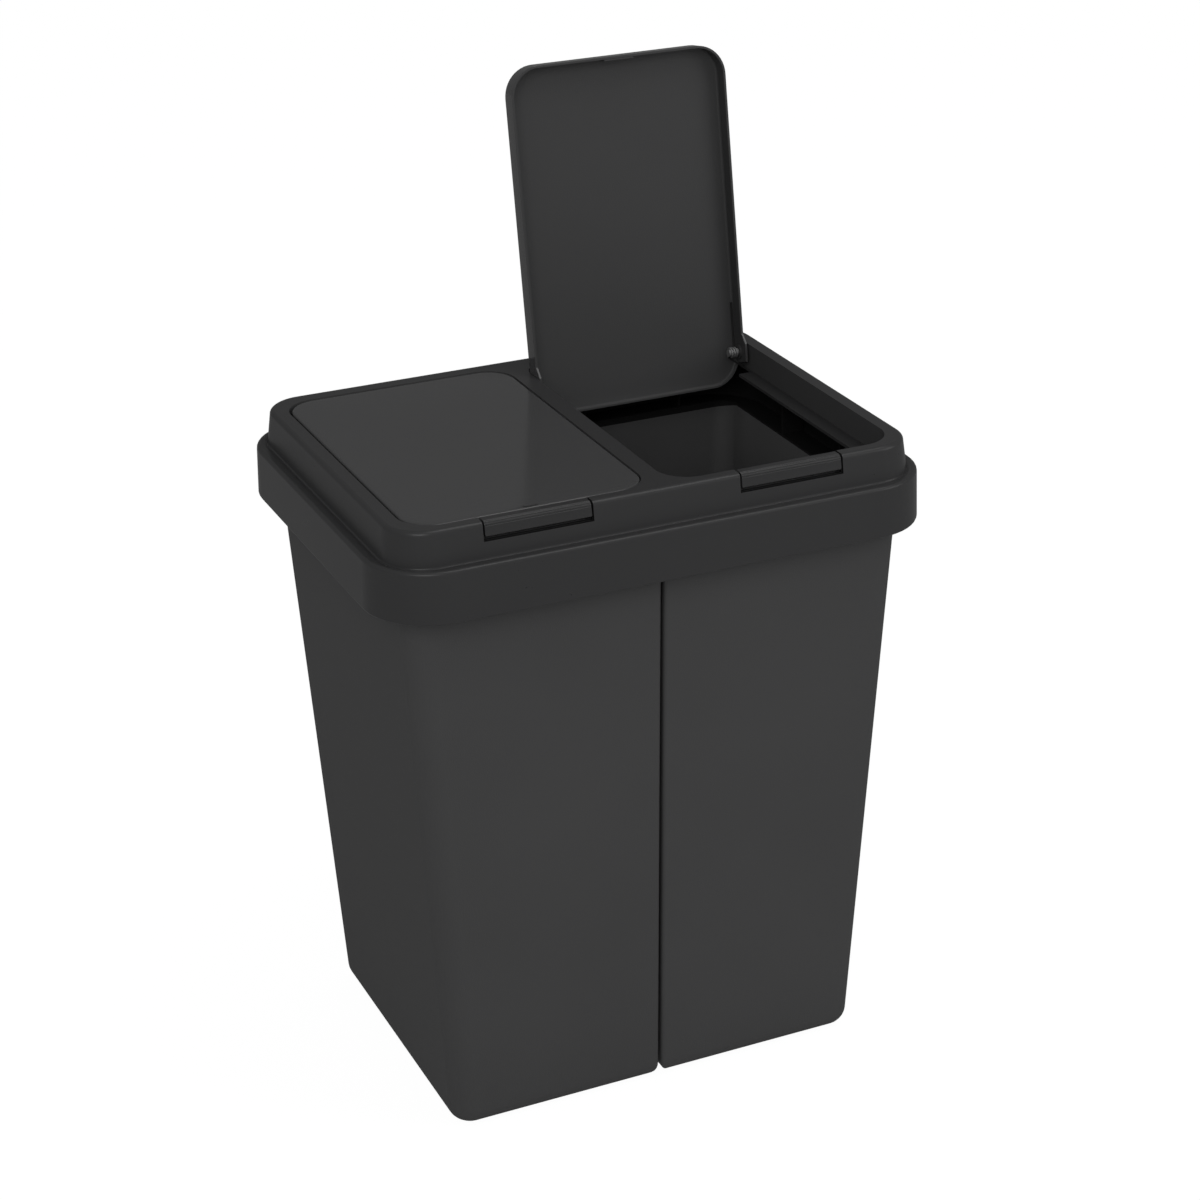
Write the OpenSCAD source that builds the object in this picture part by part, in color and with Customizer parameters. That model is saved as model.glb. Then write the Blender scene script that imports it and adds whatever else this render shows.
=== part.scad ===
// Double recycling bin: two tapered buckets side by side under one shared cover,
// with a sprung, push-latched lid over each bucket.
// Millimetres. X runs along the front, Y to the back, Z up.
// The origin lies on the floor under the middle of the cover.
// The left lid is drawn shut and the right lid open.

/* [Bins] */
// Height of a bucket
bin_h = 466; // [380:1:520]
// Distance from the skirt's side in to a bucket's outer side at its rim
bin_in_x = 21.8; // [21:0.1:32]
// Distance from the skirt's front in to a bucket's front at its rim
bin_in_y = 22.9; // [22:0.1:32]
// Taper of a bucket's outer side over its height
bin_taper_x = 27.4; // [10:0.1:50]
// Taper of a bucket's front, and of its back, over its height
bin_taper_y = 13.9; // [8:0.1:35]
// Gap between the two buckets
bin_gap = 2.4; // [1.6:0.1:5]
// Wall thickness of a bucket
bin_wall = 2.4; // [1.8:0.1:3.5]
// Floor thickness of a bucket
bin_floor = 3; // [2:0.1:5]
// Corner radius on a bucket's outer side
bin_corner_r = 18.5; // [17:0.5:26]
// Corner radius on the side that faces the other bucket
bin_inner_corner_r = 3; // [3:0.5:10]
// Radius of the rounded edge round the base
bin_foot_r = 14; // [8:1:14]
// Gap between a bucket's rim lip and the inside of the skirt
lip_gap = 0.8; // [0.5:0.1:3]
// Height of the rim lip
lip_h = 3; // [2:0.5:3]
// Depth of the hollow under the base
base_hollow = 2; // [1:0.1:2.5]

/* [Cover] */
// Height of the cover's skirt
skirt_h = 41; // [34:1:50]
// Width of the skirt at its bottom edge
skirt_w = 456; // [452:1:470]
// Depth of the skirt at its bottom edge
skirt_d = 344; // [340:1:360]
// Draft of the skirt over its height
skirt_draft = 1.2; // [0.8:0.1:2.5]
// Corner radius of the skirt
skirt_r = 54; // [48:1:60]
// Radius of the shoulder at the top of the skirt
shoulder_r = 3; // [2.8:0.1:6]
// How far the bottom edge of the skirt hangs below the bucket rims
skirt_drop = 4; // [3:0.5:8]
// Height of the raised rim above the skirt
rim_h = 27; // [25:1:32]
// Step from the skirt in to the raised rim
rim_step = 12.1; // [11:0.1:14]
// Draft of the raised rim over its height
rim_draft = 3; // [1:0.1:3.2]
// Corner radius of the raised rim
rim_r = 34.5; // [32:0.5:42]
// Radius of the rim's rounded top edge
rim_edge_r = 4; // [3:0.5:6]
// Wall thickness of the cover
cover_wall = 2.5; // [2:0.1:2.8]
// Depth from the cover's top to the ledge round an opening
ledge_depth = 22; // [20:0.5:23]
// Width of the ledge
ledge_w = 13; // [8:0.5:16]
// Distance from the hinge axis forward to the end of the ledge
ledge_clear = 18; // [18:0.5:22]
// Corner radius of an opening
opening_r = 15; // [10:1:20]

/* [Lids] */
// Distance between the two lids
lid_gap = 16.4; // [15.6:0.1:20]
// Land between a lid's outer side and the rim's top edge
side_land = 14.1; // [13.6:0.1:18]
// Land between a lid's front edge and the rim's top edge
front_land = 11.4; // [10.9:0.1:15]
// Land between a lid's back edge and the rim's top edge
back_land = 15.9; // [15:0.1:18]
// Corner radius of a lid
lid_r = 25; // [20:1:28]
// Thickness of a lid's top
lid_top = 2.2; // [1.8:0.1:2.4]
// Thickness of a lid's side walls
lid_wall = 2; // [1.6:0.1:2.4]
// Depth of a lid, from its top to the edge of its walls
lid_depth = 16; // [14:0.5:17]
// Depth of a lid's walls round the hinge
lid_hinge_depth = 22; // [21:0.5:23]
// Radius of a lid's rounded top edge
lid_edge_r = 3.5; // [2:0.5:4]
// Seam between a lid and the cover
seam = 1; // [0.8:0.1:1.5]
// Seam behind a lid
back_seam = 1.3; // [1.2:0.1:1.6]
// Angle of a lid when it is fully open
open_angle = 99; // [91:1:100]

/* [Hinges] */
// Distance from a lid's back edge forward to the hinge axis
hinge_in = 29; // [28:0.5:30]
// Depth of the hinge axis under the cover's top
hinge_depth = 9; // [8.5:0.1:9.5]
// Radius of a hinge pin
pin_r = 3; // [2.5:0.1:3.2]
// Running clearance round a pin
pin_clear = 0.05; // [0.02:0.01:0.1]
// Radius of the bosses round the pins
boss_r = 6; // [5:0.5:6]
// Length of a lid's boss
boss_len = 2; // [1:0.5:3]

/* [Lid springs] */
// Wire thickness of a lid spring
lid_wire = 1.4; // [1.2:0.1:1.4]
// Radius of a lid spring's coil, to the middle of the wire
lid_coil_r = 5.2; // [4.8:0.1:5.2]
// Length of a lid spring's coil
lid_coil_len = 7; // [6.6:0.1:8]
// Whole curls in a lid spring
lid_curls = 3; // [2:1:3]
// Length of the leg that lifts the lid
lid_leg = 42; // [20:1:50]
// Length of the leg that bears on the cover
cover_leg = 24; // [22:1:25]

/* [Latch buttons] */
// Width of a latch button
button_w = 84; // [60:1:90]
// Gap at each end of a button
button_side_gap = 1.5; // [1:0.1:2]
// Depth from the cover's top to a button's lower edge
button_drop = 11.5; // [10.5:0.5:12]
// Gap under a button's front, for its travel
button_under_gap = 3.2; // [2.8:0.1:3.6]
// Depth from the cover's top to the floor of a button's pocket
button_pocket = 18; // [17.9:0.1:18.2]
// Wall thickness of a button
button_wall = 2.4; // [2:0.1:2.6]
// Gap between a button's back edge and the lid
button_back_gap = 1.5; // [1.4:0.1:1.6]
// Radius of a button's trunnions
trunnion_r = 2; // [1.8:0.1:2]
// Length of a button's trunnions
trunnion_len = 2.6; // [2:0.1:2.8]
// Distance from the lid's front back to the trunnion axis
trunnion_back = 4.6; // [4.4:0.1:5]
// Depth of the trunnion axis under the cover's top
trunnion_depth = 15.4; // [15.2:0.1:15.5]
// Width of a button's hook
hook_w = 20; // [12:1:30]
// Free space between a button's hook and the lid
hook_gap = 0.5; // [0.4:0.1:0.7]

/* [Button springs] */
// Wire thickness of a button spring
button_wire = 0.6; // [0.5:0.1:0.7]
// Radius of a button spring's coil, to the middle of the wire
button_coil_r = 1.5; // [1.2:0.1:1.6]
// Curls in a button spring
button_curls = 6; // [4:1:7]

/* [Hidden] */

shell_color = [0.2, 0.2, 0.2];
bin_color = [0.24, 0.24, 0.24];
lid_color = [0.25, 0.25, 0.25];
steel_color = [0.55, 0.55, 0.56];

// One overrun for every cut, and the thickness of a blended shell's layers
over = 0.5;
leaf = 0.02;
// Sides of the round corners that are blended, and steps of a rounded edge
blend_fn = 32;
bore_fn = 48;
edge_steps = 4;
// Least radius of a bucket's corner, where its foot and wall draw it in
corner_least = 1;
// Free space where a piece lies on its seat
seat_gap = 0.3;

// Heights of the cover
cover_bottom = bin_h - skirt_drop;
shelf_z = cover_bottom + skirt_h;
top_z = shelf_z + rim_h;
ledge_z = top_z - ledge_depth;

// Raised rim at its foot and at its top
rim_x = skirt_w / 2 - rim_step;
rim_y = skirt_d / 2 - rim_step;
rim_top_x = rim_x - rim_draft;
rim_top_y = rim_y - rim_draft;

// A bucket at its rim and at its base
bin_top_x = skirt_w / 2 - bin_in_x;
bin_top_y = skirt_d / 2 - bin_in_y;
bin_base_x = bin_top_x - bin_taper_x;
bin_base_y = bin_top_y - bin_taper_y;
// Rim lip, which fills the skirt
lip_x = skirt_w / 2 - skirt_in(bin_h) - cover_wall - lip_gap;
lip_y = skirt_d / 2 - skirt_in(bin_h) - cover_wall - lip_gap;
lip_r = skirt_r - cover_wall - lip_gap;

// A lid's width, the middle of the right one, and its front and back edges
lid_w = rim_top_x - side_land - lid_gap / 2;
lid_x = (lid_w + lid_gap) / 2;
lid_front = rim_top_y - front_land;
lid_back = rim_top_y - back_land;
hinge_y = lid_back - hinge_in;
ledge_end_y = hinge_y - ledge_clear;

// Middle of the buttons, the lower edge of their slots and their pockets' floor
trunnion_y = -lid_front - trunnion_back;
trunnion_z = top_z - trunnion_depth;
slot_z = top_z - button_drop - button_under_gap;
pocket_z = top_z - button_pocket;
button_foot_z = top_z - button_drop;
button_back_y = -lid_front - button_back_gap;

// Pockets that the lids lie in
pocket_in = lid_x - lid_w / 2 - seam;
pocket_out = lid_x + lid_w / 2 + seam;
pocket_front = -lid_front - seam;
pocket_back = lid_back + back_seam;
pocket_r = lid_r + seam;
hinge_z = top_z - hinge_depth;

// Outer bosses of the cover, and the pins' ends, from a lid's middle for the inner ones
boss_out = pocket_out + 2 * cover_wall + over;
pin_outer_end = boss_out - cover_wall / 2;
spring_inset = boss_len + seam;
pin_boss_end = lid_w / 2 - lid_wall - boss_len - seam;
pin_spring_end = lid_w / 2 - lid_wall - spring_inset - lid_coil_len - seam;

// Ribs inside the skirt that stand on the bucket rims
rib_w = 2.5;
rib_share = 0.33;
rib_far_share = 0.76;

// Springs
tube_sides = 6;
curl_rings = 8;
spring_seat_w = 5;
lid_spring_turn = [180 + 360 * lid_curls, 180 + 360 * lid_curls - open_angle];
button_spring_side = button_w / 4;
// Middle of a button spring, and the seat under the button that it presses on
button_spring_y = (button_back_y - over - rim_top_y + button_wall) / 2;
button_seat_z = top_z - rim_edge_r + button_wire;

// How far a rounded edge of radius r draws in, and rises, at a step
function edge_in(r, i) = r * (1 - cos(90 * i / edge_steps));
function edge_up(r, i) = r * sin(90 * i / edge_steps);
// A bucket's half sizes at a height
function bin_x(z) = bin_base_x + (bin_top_x - bin_base_x) * z / bin_h;
function bin_y(z) = bin_base_y + (bin_top_y - bin_base_y) * z / bin_h;
// Draft of the skirt and of the rim at a height
function skirt_in(z) = skirt_draft * (z - cover_bottom) / skirt_h;
function rim_in(z) = rim_draft * (z - shelf_z) / rim_h;

// A thin rounded rectangle from x0 to x1, with one radius on each side in x
module layer(x0, x1, half_y, r0, r1, z) {
    for (side = [-1, 1]) {
        translate([x0 + r0, side * (half_y - r0), z])
            cylinder(r = r0, h = leaf, $fn = blend_fn);
        translate([x1 - r1, side * (half_y - r1), z])
            cylinder(r = r1, h = leaf, $fn = blend_fn);
    }
}

// An upright block with round corners, from one corner to the other
module round_block(x0, x1, y0, y1, z0, z1, r) {
    translate([x0 + r, y0, z0])
        cube([x1 - x0 - 2 * r, y1 - y0, z1 - z0]);
    translate([x0, y0 + r, z0])
        cube([x1 - x0, y1 - y0 - 2 * r, z1 - z0]);
    for (x = [x0 + r, x1 - r], y = [y0 + r, y1 - r])
        translate([x, y, z0])
            cylinder(r = r, h = z1 - z0, $fn = bore_fn);
}

// A rod along X from x0 to x1 at a hinge's height and depth
module rod_x(x0, x1, y, z, r) {
    translate([x0, y, z])
        rotate([0, 90, 0])
            cylinder(r = r, h = x1 - x0, $fn = bore_fn);
}

// A bucket's body, drawn in by its wall for the hollow
module bin_body(inset, floor_z, top) {
    x0 = bin_gap / 2 + inset;
    r0 = max(bin_inner_corner_r - inset, corner_least);
    r1 = bin_corner_r - inset;
    foot = bin_foot_r - inset;
    hull() {
        for (i = [0 : edge_steps]) {
            z = floor_z + foot - edge_up(foot, i);
            d = edge_in(foot, i);
            layer(x0 + d, bin_x(z) - inset - d, bin_y(z) - inset - d,
                  max(r0 - d, corner_least), r1 - d, z);
        }
        layer(x0, bin_x(top) - inset, bin_y(top) - inset, r0, r1, top - leaf);
    }
}

// A bucket's rim lip, flush on the side that faces the other bucket
module lip_body() {
    hull()
        for (z = [bin_h - lip_h, bin_h - leaf])
            layer(bin_gap / 2, lip_x, lip_y, bin_inner_corner_r, lip_r, z);
}

// One bucket, on the right
module bin() {
    foot_edge = bin_foot_r + bin_wall;
    foot_x = bin_base_x - foot_edge;
    foot_y = bin_base_y - foot_edge;
    foot_start = bin_gap / 2 + foot_edge;
    color(bin_color)
        difference() {
            union() {
                bin_body(0, 0, bin_h);
                lip_body();
            }
            bin_body(bin_wall, bin_floor, bin_h + over);
            // Hollow under the base, which leaves a broad foot all round
            translate([foot_start, -foot_y, -over])
                cube([foot_x - foot_start, 2 * foot_y, base_hollow + over]);
        }
}

module left_bin() {
    mirror([1, 0, 0])
        bin();
}

module right_bin() {
    bin();
}

// The skirt's outside, drawn in for its inside
module skirt_body(inset, z0, z1) {
    r = shoulder_r - inset;
    hull() {
        for (z = [z0, z1 - r])
            layer(-skirt_w / 2 + inset + skirt_in(z), skirt_w / 2 - inset - skirt_in(z),
                  skirt_d / 2 - inset - skirt_in(z), skirt_r - inset, skirt_r - inset, z);
        for (i = [1 : edge_steps]) {
            d = inset + skirt_in(z1) + edge_in(r, i);
            z = z1 - r + edge_up(r, i) - leaf;
            layer(-skirt_w / 2 + d, skirt_w / 2 - d, skirt_d / 2 - d,
                  skirt_r - d, skirt_r - d, z);
        }
    }
}

// The raised rim's outside, drawn in for its inside
module rim_body(inset, z0, z1) {
    r = rim_edge_r - inset;
    hull() {
        for (z = [z0, z1 - r])
            layer(-rim_x + inset + rim_in(z), rim_x - inset - rim_in(z),
                  rim_y - inset - rim_in(z), rim_r - inset, rim_r - inset, z);
        for (i = [1 : edge_steps]) {
            d = inset + rim_in(z1) + edge_in(r, i);
            z = z1 - r + edge_up(r, i) - leaf;
            layer(-rim_x + d, rim_x - d, rim_y - d, rim_r - d, rim_r - d, z);
        }
    }
}

// Ribs inside the skirt: each stands on a bucket's rim
module skirt_ribs() {
    seat_x = bin_top_x - bin_wall;
    seat_y = bin_top_y - bin_wall;
    for (sx = [-1, 1], share = [rib_share, rib_far_share])
        for (sy = [-1, 1])
            scale([1, sy, 1])
                translate([sx * share * bin_top_x - rib_w / 2, seat_y, bin_h])
                    cube([rib_w, skirt_d / 2 - seat_y, shelf_z - bin_h]);
    for (sx = [-1, 1], sy = [-1, 1])
        scale([sx, 1, 1])
            translate([seat_x, sy * rib_share * bin_top_y - rib_w / 2, bin_h])
                cube([skirt_w / 2 - seat_x, rib_w, shelf_z - bin_h]);
}

// Solid that a lid's pocket is cut from, with its button's housing
module tub_block() {
    round_block(pocket_in - cover_wall, pocket_out + cover_wall, pocket_front - cover_wall,
                pocket_back + cover_wall, ledge_z - cover_wall, top_z - cover_wall,
                pocket_r + cover_wall);
    housing = button_w / 2 + button_side_gap + trunnion_len + seat_gap;
    housing_front = rim_top_y - cover_wall / 2;
    translate([lid_x - housing, -housing_front, pocket_z - cover_wall])
        cube([2 * housing, housing_front + pocket_front, top_z - pocket_z]);
}

// Everything cut from the cover for one lid and its button
module tub_cuts() {
    round_block(pocket_in, pocket_out, pocket_front, pocket_back, ledge_z, top_z + over,
                pocket_r);
    // Opening over the bucket
    round_block(pocket_in + ledge_w, pocket_out - ledge_w, pocket_front + ledge_w,
                ledge_end_y + opening_r, ledge_z - cover_wall - over, ledge_z + over,
                opening_r);
    // Open space behind the ledge, where the back of the lid swings down
    intersection() {
        round_block(pocket_in, pocket_out, pocket_front, pocket_back,
                    ledge_z - cover_wall - over, ledge_z + over, pocket_r);
        translate([0, ledge_end_y, ledge_z - cover_wall - over])
            cube([skirt_w / 2, skirt_d / 2, cover_wall + 2 * over]);
    }
    // Slot for the button, and the pocket that reaches lower behind the front wall
    slot = button_w / 2 + button_side_gap;
    wall_y = rim_top_y - cover_wall;
    translate([lid_x - slot, -rim_y - over, slot_z])
        cube([2 * slot, rim_y + pocket_front + 2 * over, ledge_depth]);
    translate([lid_x - slot, -wall_y, pocket_z])
        cube([2 * slot, wall_y + pocket_front + 2 * over, slot_z - pocket_z + over]);
    // Sockets for the button's trunnions
    socket = slot + trunnion_len - button_side_gap + seat_gap;
    rod_x(lid_x - socket, lid_x + socket, trunnion_y, trunnion_z, trunnion_r + pin_clear);
}

// The shared cover: skirt, raised rim, two lid pockets and their ledges
module cover_frame() {
    post_x = pocket_out - seam - lid_wall - spring_inset - lid_coil_len;
    left_post_x = -pocket_in - seam - lid_wall - spring_inset - lid_coil_len;
    color(shell_color)
        difference() {
            union() {
                difference() {
                    union() {
                        skirt_body(0, cover_bottom, shelf_z);
                        rim_body(0, shelf_z - over, top_z);
                    }
                    skirt_body(cover_wall, cover_bottom - over, shelf_z - cover_wall);
                    rim_body(cover_wall, shelf_z - cover_wall - over, top_z - cover_wall);
                }
                intersection() {
                    skirt_ribs();
                    skirt_body(cover_wall / 2, cover_bottom, shelf_z - cover_wall / 2);
                }
                for (side = [0, 1])
                    mirror([side, 0, 0]) {
                        difference() {
                            tub_block();
                            tub_cuts();
                        }
                        rod_x(pocket_out, boss_out, hinge_y, hinge_z, boss_r);
                    }
                rod_x(-pocket_in, pocket_in, hinge_y, hinge_z, boss_r);
            }
            for (side = [0, 1])
                mirror([side, 0, 0])
                    difference() {
                        tub_cuts();
                        // Posts that the springs' short legs bear on
                        for (x = [post_x, -left_post_x])
                            translate([x, ledge_end_y - spring_seat_w, ledge_z])
                                cube([spring_seat_w, spring_seat_w,
                                      ledge_depth - hinge_depth - lid_coil_r - lid_wire / 2
                                      - seat_gap]);
                    }
            rod_x(-pin_outer_end, pin_outer_end, hinge_y, hinge_z, pin_r);
        }
}

// A lid's outside, with its rounded top edge
module lid_body() {
    half_y = (lid_front + lid_back) / 2;
    x0 = lid_x - lid_w / 2;
    x1 = lid_x + lid_w / 2;
    translate([0, (lid_back - lid_front) / 2, 0])
        hull() {
            layer(x0, x1, half_y, lid_r, lid_r, top_z - lid_hinge_depth);
            for (i = [0 : edge_steps]) {
                d = edge_in(lid_edge_r, i);
                layer(x0 + d, x1 - d, half_y - d, lid_r - d, lid_r - d,
                      top_z - lid_edge_r + edge_up(lid_edge_r, i) - leaf);
            }
        }
}

// One lid, shut, on the right
module shut_lid() {
    x0 = lid_x - lid_w / 2;
    x1 = lid_x + lid_w / 2;
    y_low = hinge_y - boss_r - lid_wall;
    y_high = hinge_y + boss_r + lid_wall;
    catch_w = hook_w + 2 * seam;
    catch_z = top_z - hinge_depth;
    catch_depth = seam;
    difference() {
        union() {
            difference() {
                lid_body();
                round_block(x0 + lid_wall, x1 - lid_wall, lid_wall - lid_front,
                            lid_back - lid_wall, top_z - lid_hinge_depth - over,
                            top_z - lid_top, lid_r - lid_wall);
                // Walls are shallower ahead of the hinge
                translate([x0 - over, -lid_front - over, top_z - lid_hinge_depth - over])
                    cube([lid_w + 2 * over, y_low + lid_front + over,
                          lid_hinge_depth - lid_depth + over]);
                // Behind the hinge only the top and its rounded edge go on
                translate([x0 - over, y_high, top_z - lid_hinge_depth - over])
                    cube([lid_w + 2 * over, lid_back - y_high + over,
                          lid_hinge_depth - lid_edge_r + over]);
            }
            rod_x(x0 + lid_wall / 2, x0 + lid_wall + boss_len, hinge_y, hinge_z, boss_r);
            rod_x(x1 - lid_wall - boss_len, x1 - lid_wall / 2, hinge_y, hinge_z, boss_r);
            // Thickened wall behind the catch
            translate([lid_x - catch_w / 2 - lid_wall, -lid_front + lid_wall / 2,
                       top_z - lid_depth])
                cube([catch_w + 2 * lid_wall, lid_wall / 2 + catch_depth,
                      lid_depth - lid_top / 2]);
        }
        rod_x(x0 - over, x1 + over, hinge_y, hinge_z, pin_r + pin_clear);
        // Catch for the button's hook
        translate([lid_x - catch_w / 2, -lid_front - over, catch_z - lid_wall])
            cube([catch_w, over + catch_depth, 2 * lid_wall + seam]);
    }
}

// Turns what it holds about the hinge axis
module swing(angle) {
    translate([0, hinge_y, hinge_z])
        rotate([-angle, 0, 0])
            translate([0, -hinge_y, -hinge_z])
                children();
}

module left_lid() {
    color(lid_color)
        mirror([1, 0, 0])
            shut_lid();
}

module right_lid() {
    color(lid_color)
        swing(open_angle)
            shut_lid();
}

// A button's section: the cover's shoulder line outside, drawn in by a wall inside
module button_section(inset) {
    r = rim_edge_r - inset;
    y_top = -rim_top_y + rim_edge_r;
    y_foot = -rim_y + rim_in(button_foot_z) + inset;
    arc = [for (i = [0 : edge_steps]) let (a = 90 + 90 * i / edge_steps)
        [y_top + r * cos(a), top_z - rim_edge_r + r * sin(a)]];
    polygon(concat([[button_back_y, button_foot_z], [button_back_y, top_z - inset]], arc,
                   [[y_foot, button_foot_z]]));
}

// Stands a section in the YZ plane up along X, from x0 over a length
module along_x(x0, length) {
    translate([x0, 0, 0])
        rotate([90, 0, 90])
            linear_extrude(height = length)
                children();
}

// One latch button, on the right
module latch_button() {
    x0 = lid_x - button_w / 2;
    cheek = trunnion_r + seat_gap;
    hook_z = top_z - hinge_depth;
    hook_h = 2 * lid_wall;
    hook_tip = -lid_front - hook_gap;
    color(lid_color) {
        difference() {
            along_x(x0, button_w)
                button_section(0);
            along_x(x0 + button_wall, button_w - 2 * button_wall)
                difference() {
                    button_section(button_wall);
                    translate([button_back_y - over, 0])
                        square([over, top_z]);
                }
            translate([x0 + button_wall, -rim_y + button_wall, button_foot_z - over])
                cube([button_w - 2 * button_wall, rim_y + button_back_y - button_wall + over,
                      2 * over]);
        }
        // Cheeks that carry the trunnions
        for (side = [-1, 1])
            translate([lid_x + side * (button_w - button_wall) / 2 - button_wall / 2, 0, 0]) {
                rod_x(0, button_wall, trunnion_y, trunnion_z, cheek);
                translate([0, trunnion_y - cheek, trunnion_z])
                    cube([button_wall, 2 * cheek, button_foot_z - trunnion_z + over]);
            }
        // Seat of the button's spring
        translate([lid_x + button_spring_side, button_spring_y, button_seat_z])
            cylinder(r = button_coil_r + button_wire / 2, h = top_z - button_wall / 2
                     - button_seat_z - over, $fn = bore_fn);
        rod_x(x0 - trunnion_len, x0 + button_wall / 2, trunnion_y, trunnion_z, trunnion_r);
        rod_x(x0 + button_w - button_wall / 2, x0 + button_w + trunnion_len, trunnion_y,
              trunnion_z, trunnion_r);
        // Hook, with a ramp that the closing lid pushes back
        along_x(lid_x - hook_w / 2, hook_w)
            polygon([[button_back_y - button_wall, hook_z], [hook_tip, hook_z],
                     [hook_tip, hook_z + hook_gap], [button_back_y, hook_z + hook_h],
                     [button_back_y, top_z - button_wall / 2],
                     [button_back_y - button_wall, top_z - button_wall / 2]]);
    }
}

module left_latch_button() {
    mirror([1, 0, 0])
        latch_button();
}

module right_latch_button() {
    latch_button();
}

// Hinge pins: each is pressed into the cover and carries the lids' side walls
module hinge_pin(x0, x1) {
    color(steel_color)
        rod_x(x0, x1, hinge_y, hinge_z, pin_r);
}

module left_outer_hinge_pin() {
    hinge_pin(-pin_outer_end, -lid_x - pin_boss_end);
}

module centre_hinge_pin() {
    hinge_pin(-lid_x + pin_spring_end, lid_x - pin_boss_end);
}

module right_outer_hinge_pin() {
    hinge_pin(lid_x + pin_spring_end, pin_outer_end);
}

// Wire as one closed tube: p are the centres, n the sides' first directions
// and b the second ones
module wire_tube(p, n, b, r) {
    rings = len(p);
    pts = [for (i = [0 : rings - 1], k = [0 : tube_sides - 1])
        p[i] + r * (cos(360 * k / tube_sides) * n[i] + sin(360 * k / tube_sides) * b[i])];
    walls = [for (i = [0 : rings - 2], k = [0 : tube_sides - 1], half = [0, 1])
        let (a = i * tube_sides + k, c = i * tube_sides + (k + 1) % tube_sides)
        half == 0 ? [a, a + tube_sides, c] : [c, a + tube_sides, c + tube_sides]];
    first = [for (k = [1 : tube_sides - 2]) [0, k, k + 1]];
    last_ring = (rings - 1) * tube_sides;
    last = [for (k = [1 : tube_sides - 2]) [last_ring, last_ring + k + 1, last_ring + k]];
    polyhedron(points = pts, faces = concat(walls, first, last), convexity = 6);
}

// A helix about X in its own frame, from one angle over a turn, with straight ends
function helix_at(a, x, r) = [x, r * cos(a), r * sin(a)];
function helix_dir(a, rise, r) = let (v = [rise * 180 / PI, -r * sin(a), r * cos(a)])
    v / norm(v);
function leg_dir(a) = [0, -sin(a), cos(a)];
function helix_path(r, from, turn, length, start_leg, end_leg) =
    let (rings = ceil(turn * curl_rings / 360))
    concat([helix_at(from, 0, r) - start_leg * leg_dir(from)],
           [for (i = [0 : rings]) helix_at(from + turn * i / rings, length * i / rings, r)],
           [helix_at(from + turn, length, r) + end_leg * leg_dir(from + turn)]);
// Directions across the wire at each ring
function helix_angles(from, turn) =
    let (rings = ceil(turn * curl_rings / 360))
    concat([from], [for (i = [0 : rings]) from + turn * i / rings], [from + turn]);
function least_gap(p, wire) =
    min([for (i = [1 : len(p) - 2], j = [i + curl_rings / 2 : 1 : len(p) - 2])
        norm(p[i] - p[j]) - wire]);

module helix_wire(r, wire, from, turn, length, start_leg, end_leg, label) {
    p = helix_path(r, from, turn, length, start_leg, end_leg);
    angles = helix_angles(from, turn);
    rise = length / turn;
    n = [for (a = angles) [0, cos(a), sin(a)]];
    b = [for (a = angles) cross(helix_dir(a, rise, r), [0, cos(a), sin(a)])];
    echo(str(label, " least gap between curls: "), least_gap(p, wire));
    wire_tube(p, n, b, wire / 2);
}

// A lid spring: the short leg lies on the cover's post, the long one lifts the lid
module lid_spring(x, turn, label) {
    color(steel_color)
        translate([x, hinge_y, hinge_z])
            helix_wire(lid_coil_r, lid_wire, -90, turn, lid_coil_len, cover_leg, lid_leg, label);
}

module left_lid_spring() {
    lid_spring(-lid_x + lid_w / 2 - lid_wall - spring_inset - lid_coil_len,
               lid_spring_turn[0], "Left lid spring");
}

module right_lid_spring() {
    lid_spring(lid_x + lid_w / 2 - lid_wall - spring_inset - lid_coil_len,
               lid_spring_turn[1], "Right lid spring");
}

// A button spring, upright between its pocket's floor and the button
module button_spring(side, label) {
    coil_foot = pocket_z + seat_gap + button_wire / 2;
    coil_top = button_seat_z - seat_gap - button_wire / 2;
    color(steel_color)
        translate([side * (lid_x + button_spring_side), button_spring_y, coil_foot])
            rotate([0, -90, 0])
                helix_wire(button_coil_r, button_wire, 0, 360 * button_curls,
                           coil_top - coil_foot, button_wire, button_wire, label);
}

module left_button_spring() {
    button_spring(-1, "Left button spring");
}

module right_button_spring() {
    button_spring(1, "Right button spring");
}

left_bin();
right_bin();
cover_frame();
left_lid();
right_lid();
left_latch_button();
right_latch_button();
left_outer_hinge_pin();
centre_hinge_pin();
right_outer_hinge_pin();
left_lid_spring();
right_lid_spring();
left_button_spring();
right_button_spring();
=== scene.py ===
import math

import bmesh
import bpy
from mathutils import Matrix, Vector


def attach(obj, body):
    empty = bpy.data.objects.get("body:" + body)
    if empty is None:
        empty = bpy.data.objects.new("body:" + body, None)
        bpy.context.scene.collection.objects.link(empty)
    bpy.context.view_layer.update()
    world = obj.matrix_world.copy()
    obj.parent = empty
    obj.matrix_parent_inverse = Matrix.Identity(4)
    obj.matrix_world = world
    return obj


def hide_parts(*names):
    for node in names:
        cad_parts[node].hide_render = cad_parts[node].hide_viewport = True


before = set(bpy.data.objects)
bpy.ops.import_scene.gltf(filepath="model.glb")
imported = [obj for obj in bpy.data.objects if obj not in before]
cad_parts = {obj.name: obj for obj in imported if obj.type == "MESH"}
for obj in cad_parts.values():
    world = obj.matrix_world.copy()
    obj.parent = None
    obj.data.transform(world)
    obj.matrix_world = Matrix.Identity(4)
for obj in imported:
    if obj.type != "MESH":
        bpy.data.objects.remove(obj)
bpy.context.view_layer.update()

# Camera: the photograph was taken from the front left, a little above the lids.
# Azimuth, elevation and roll are in degrees, places in metres.
CAMERA_AZIMUTH, CAMERA_ELEVATION, CAMERA_ROLL = -23.93, 24.39, -1.06
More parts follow.
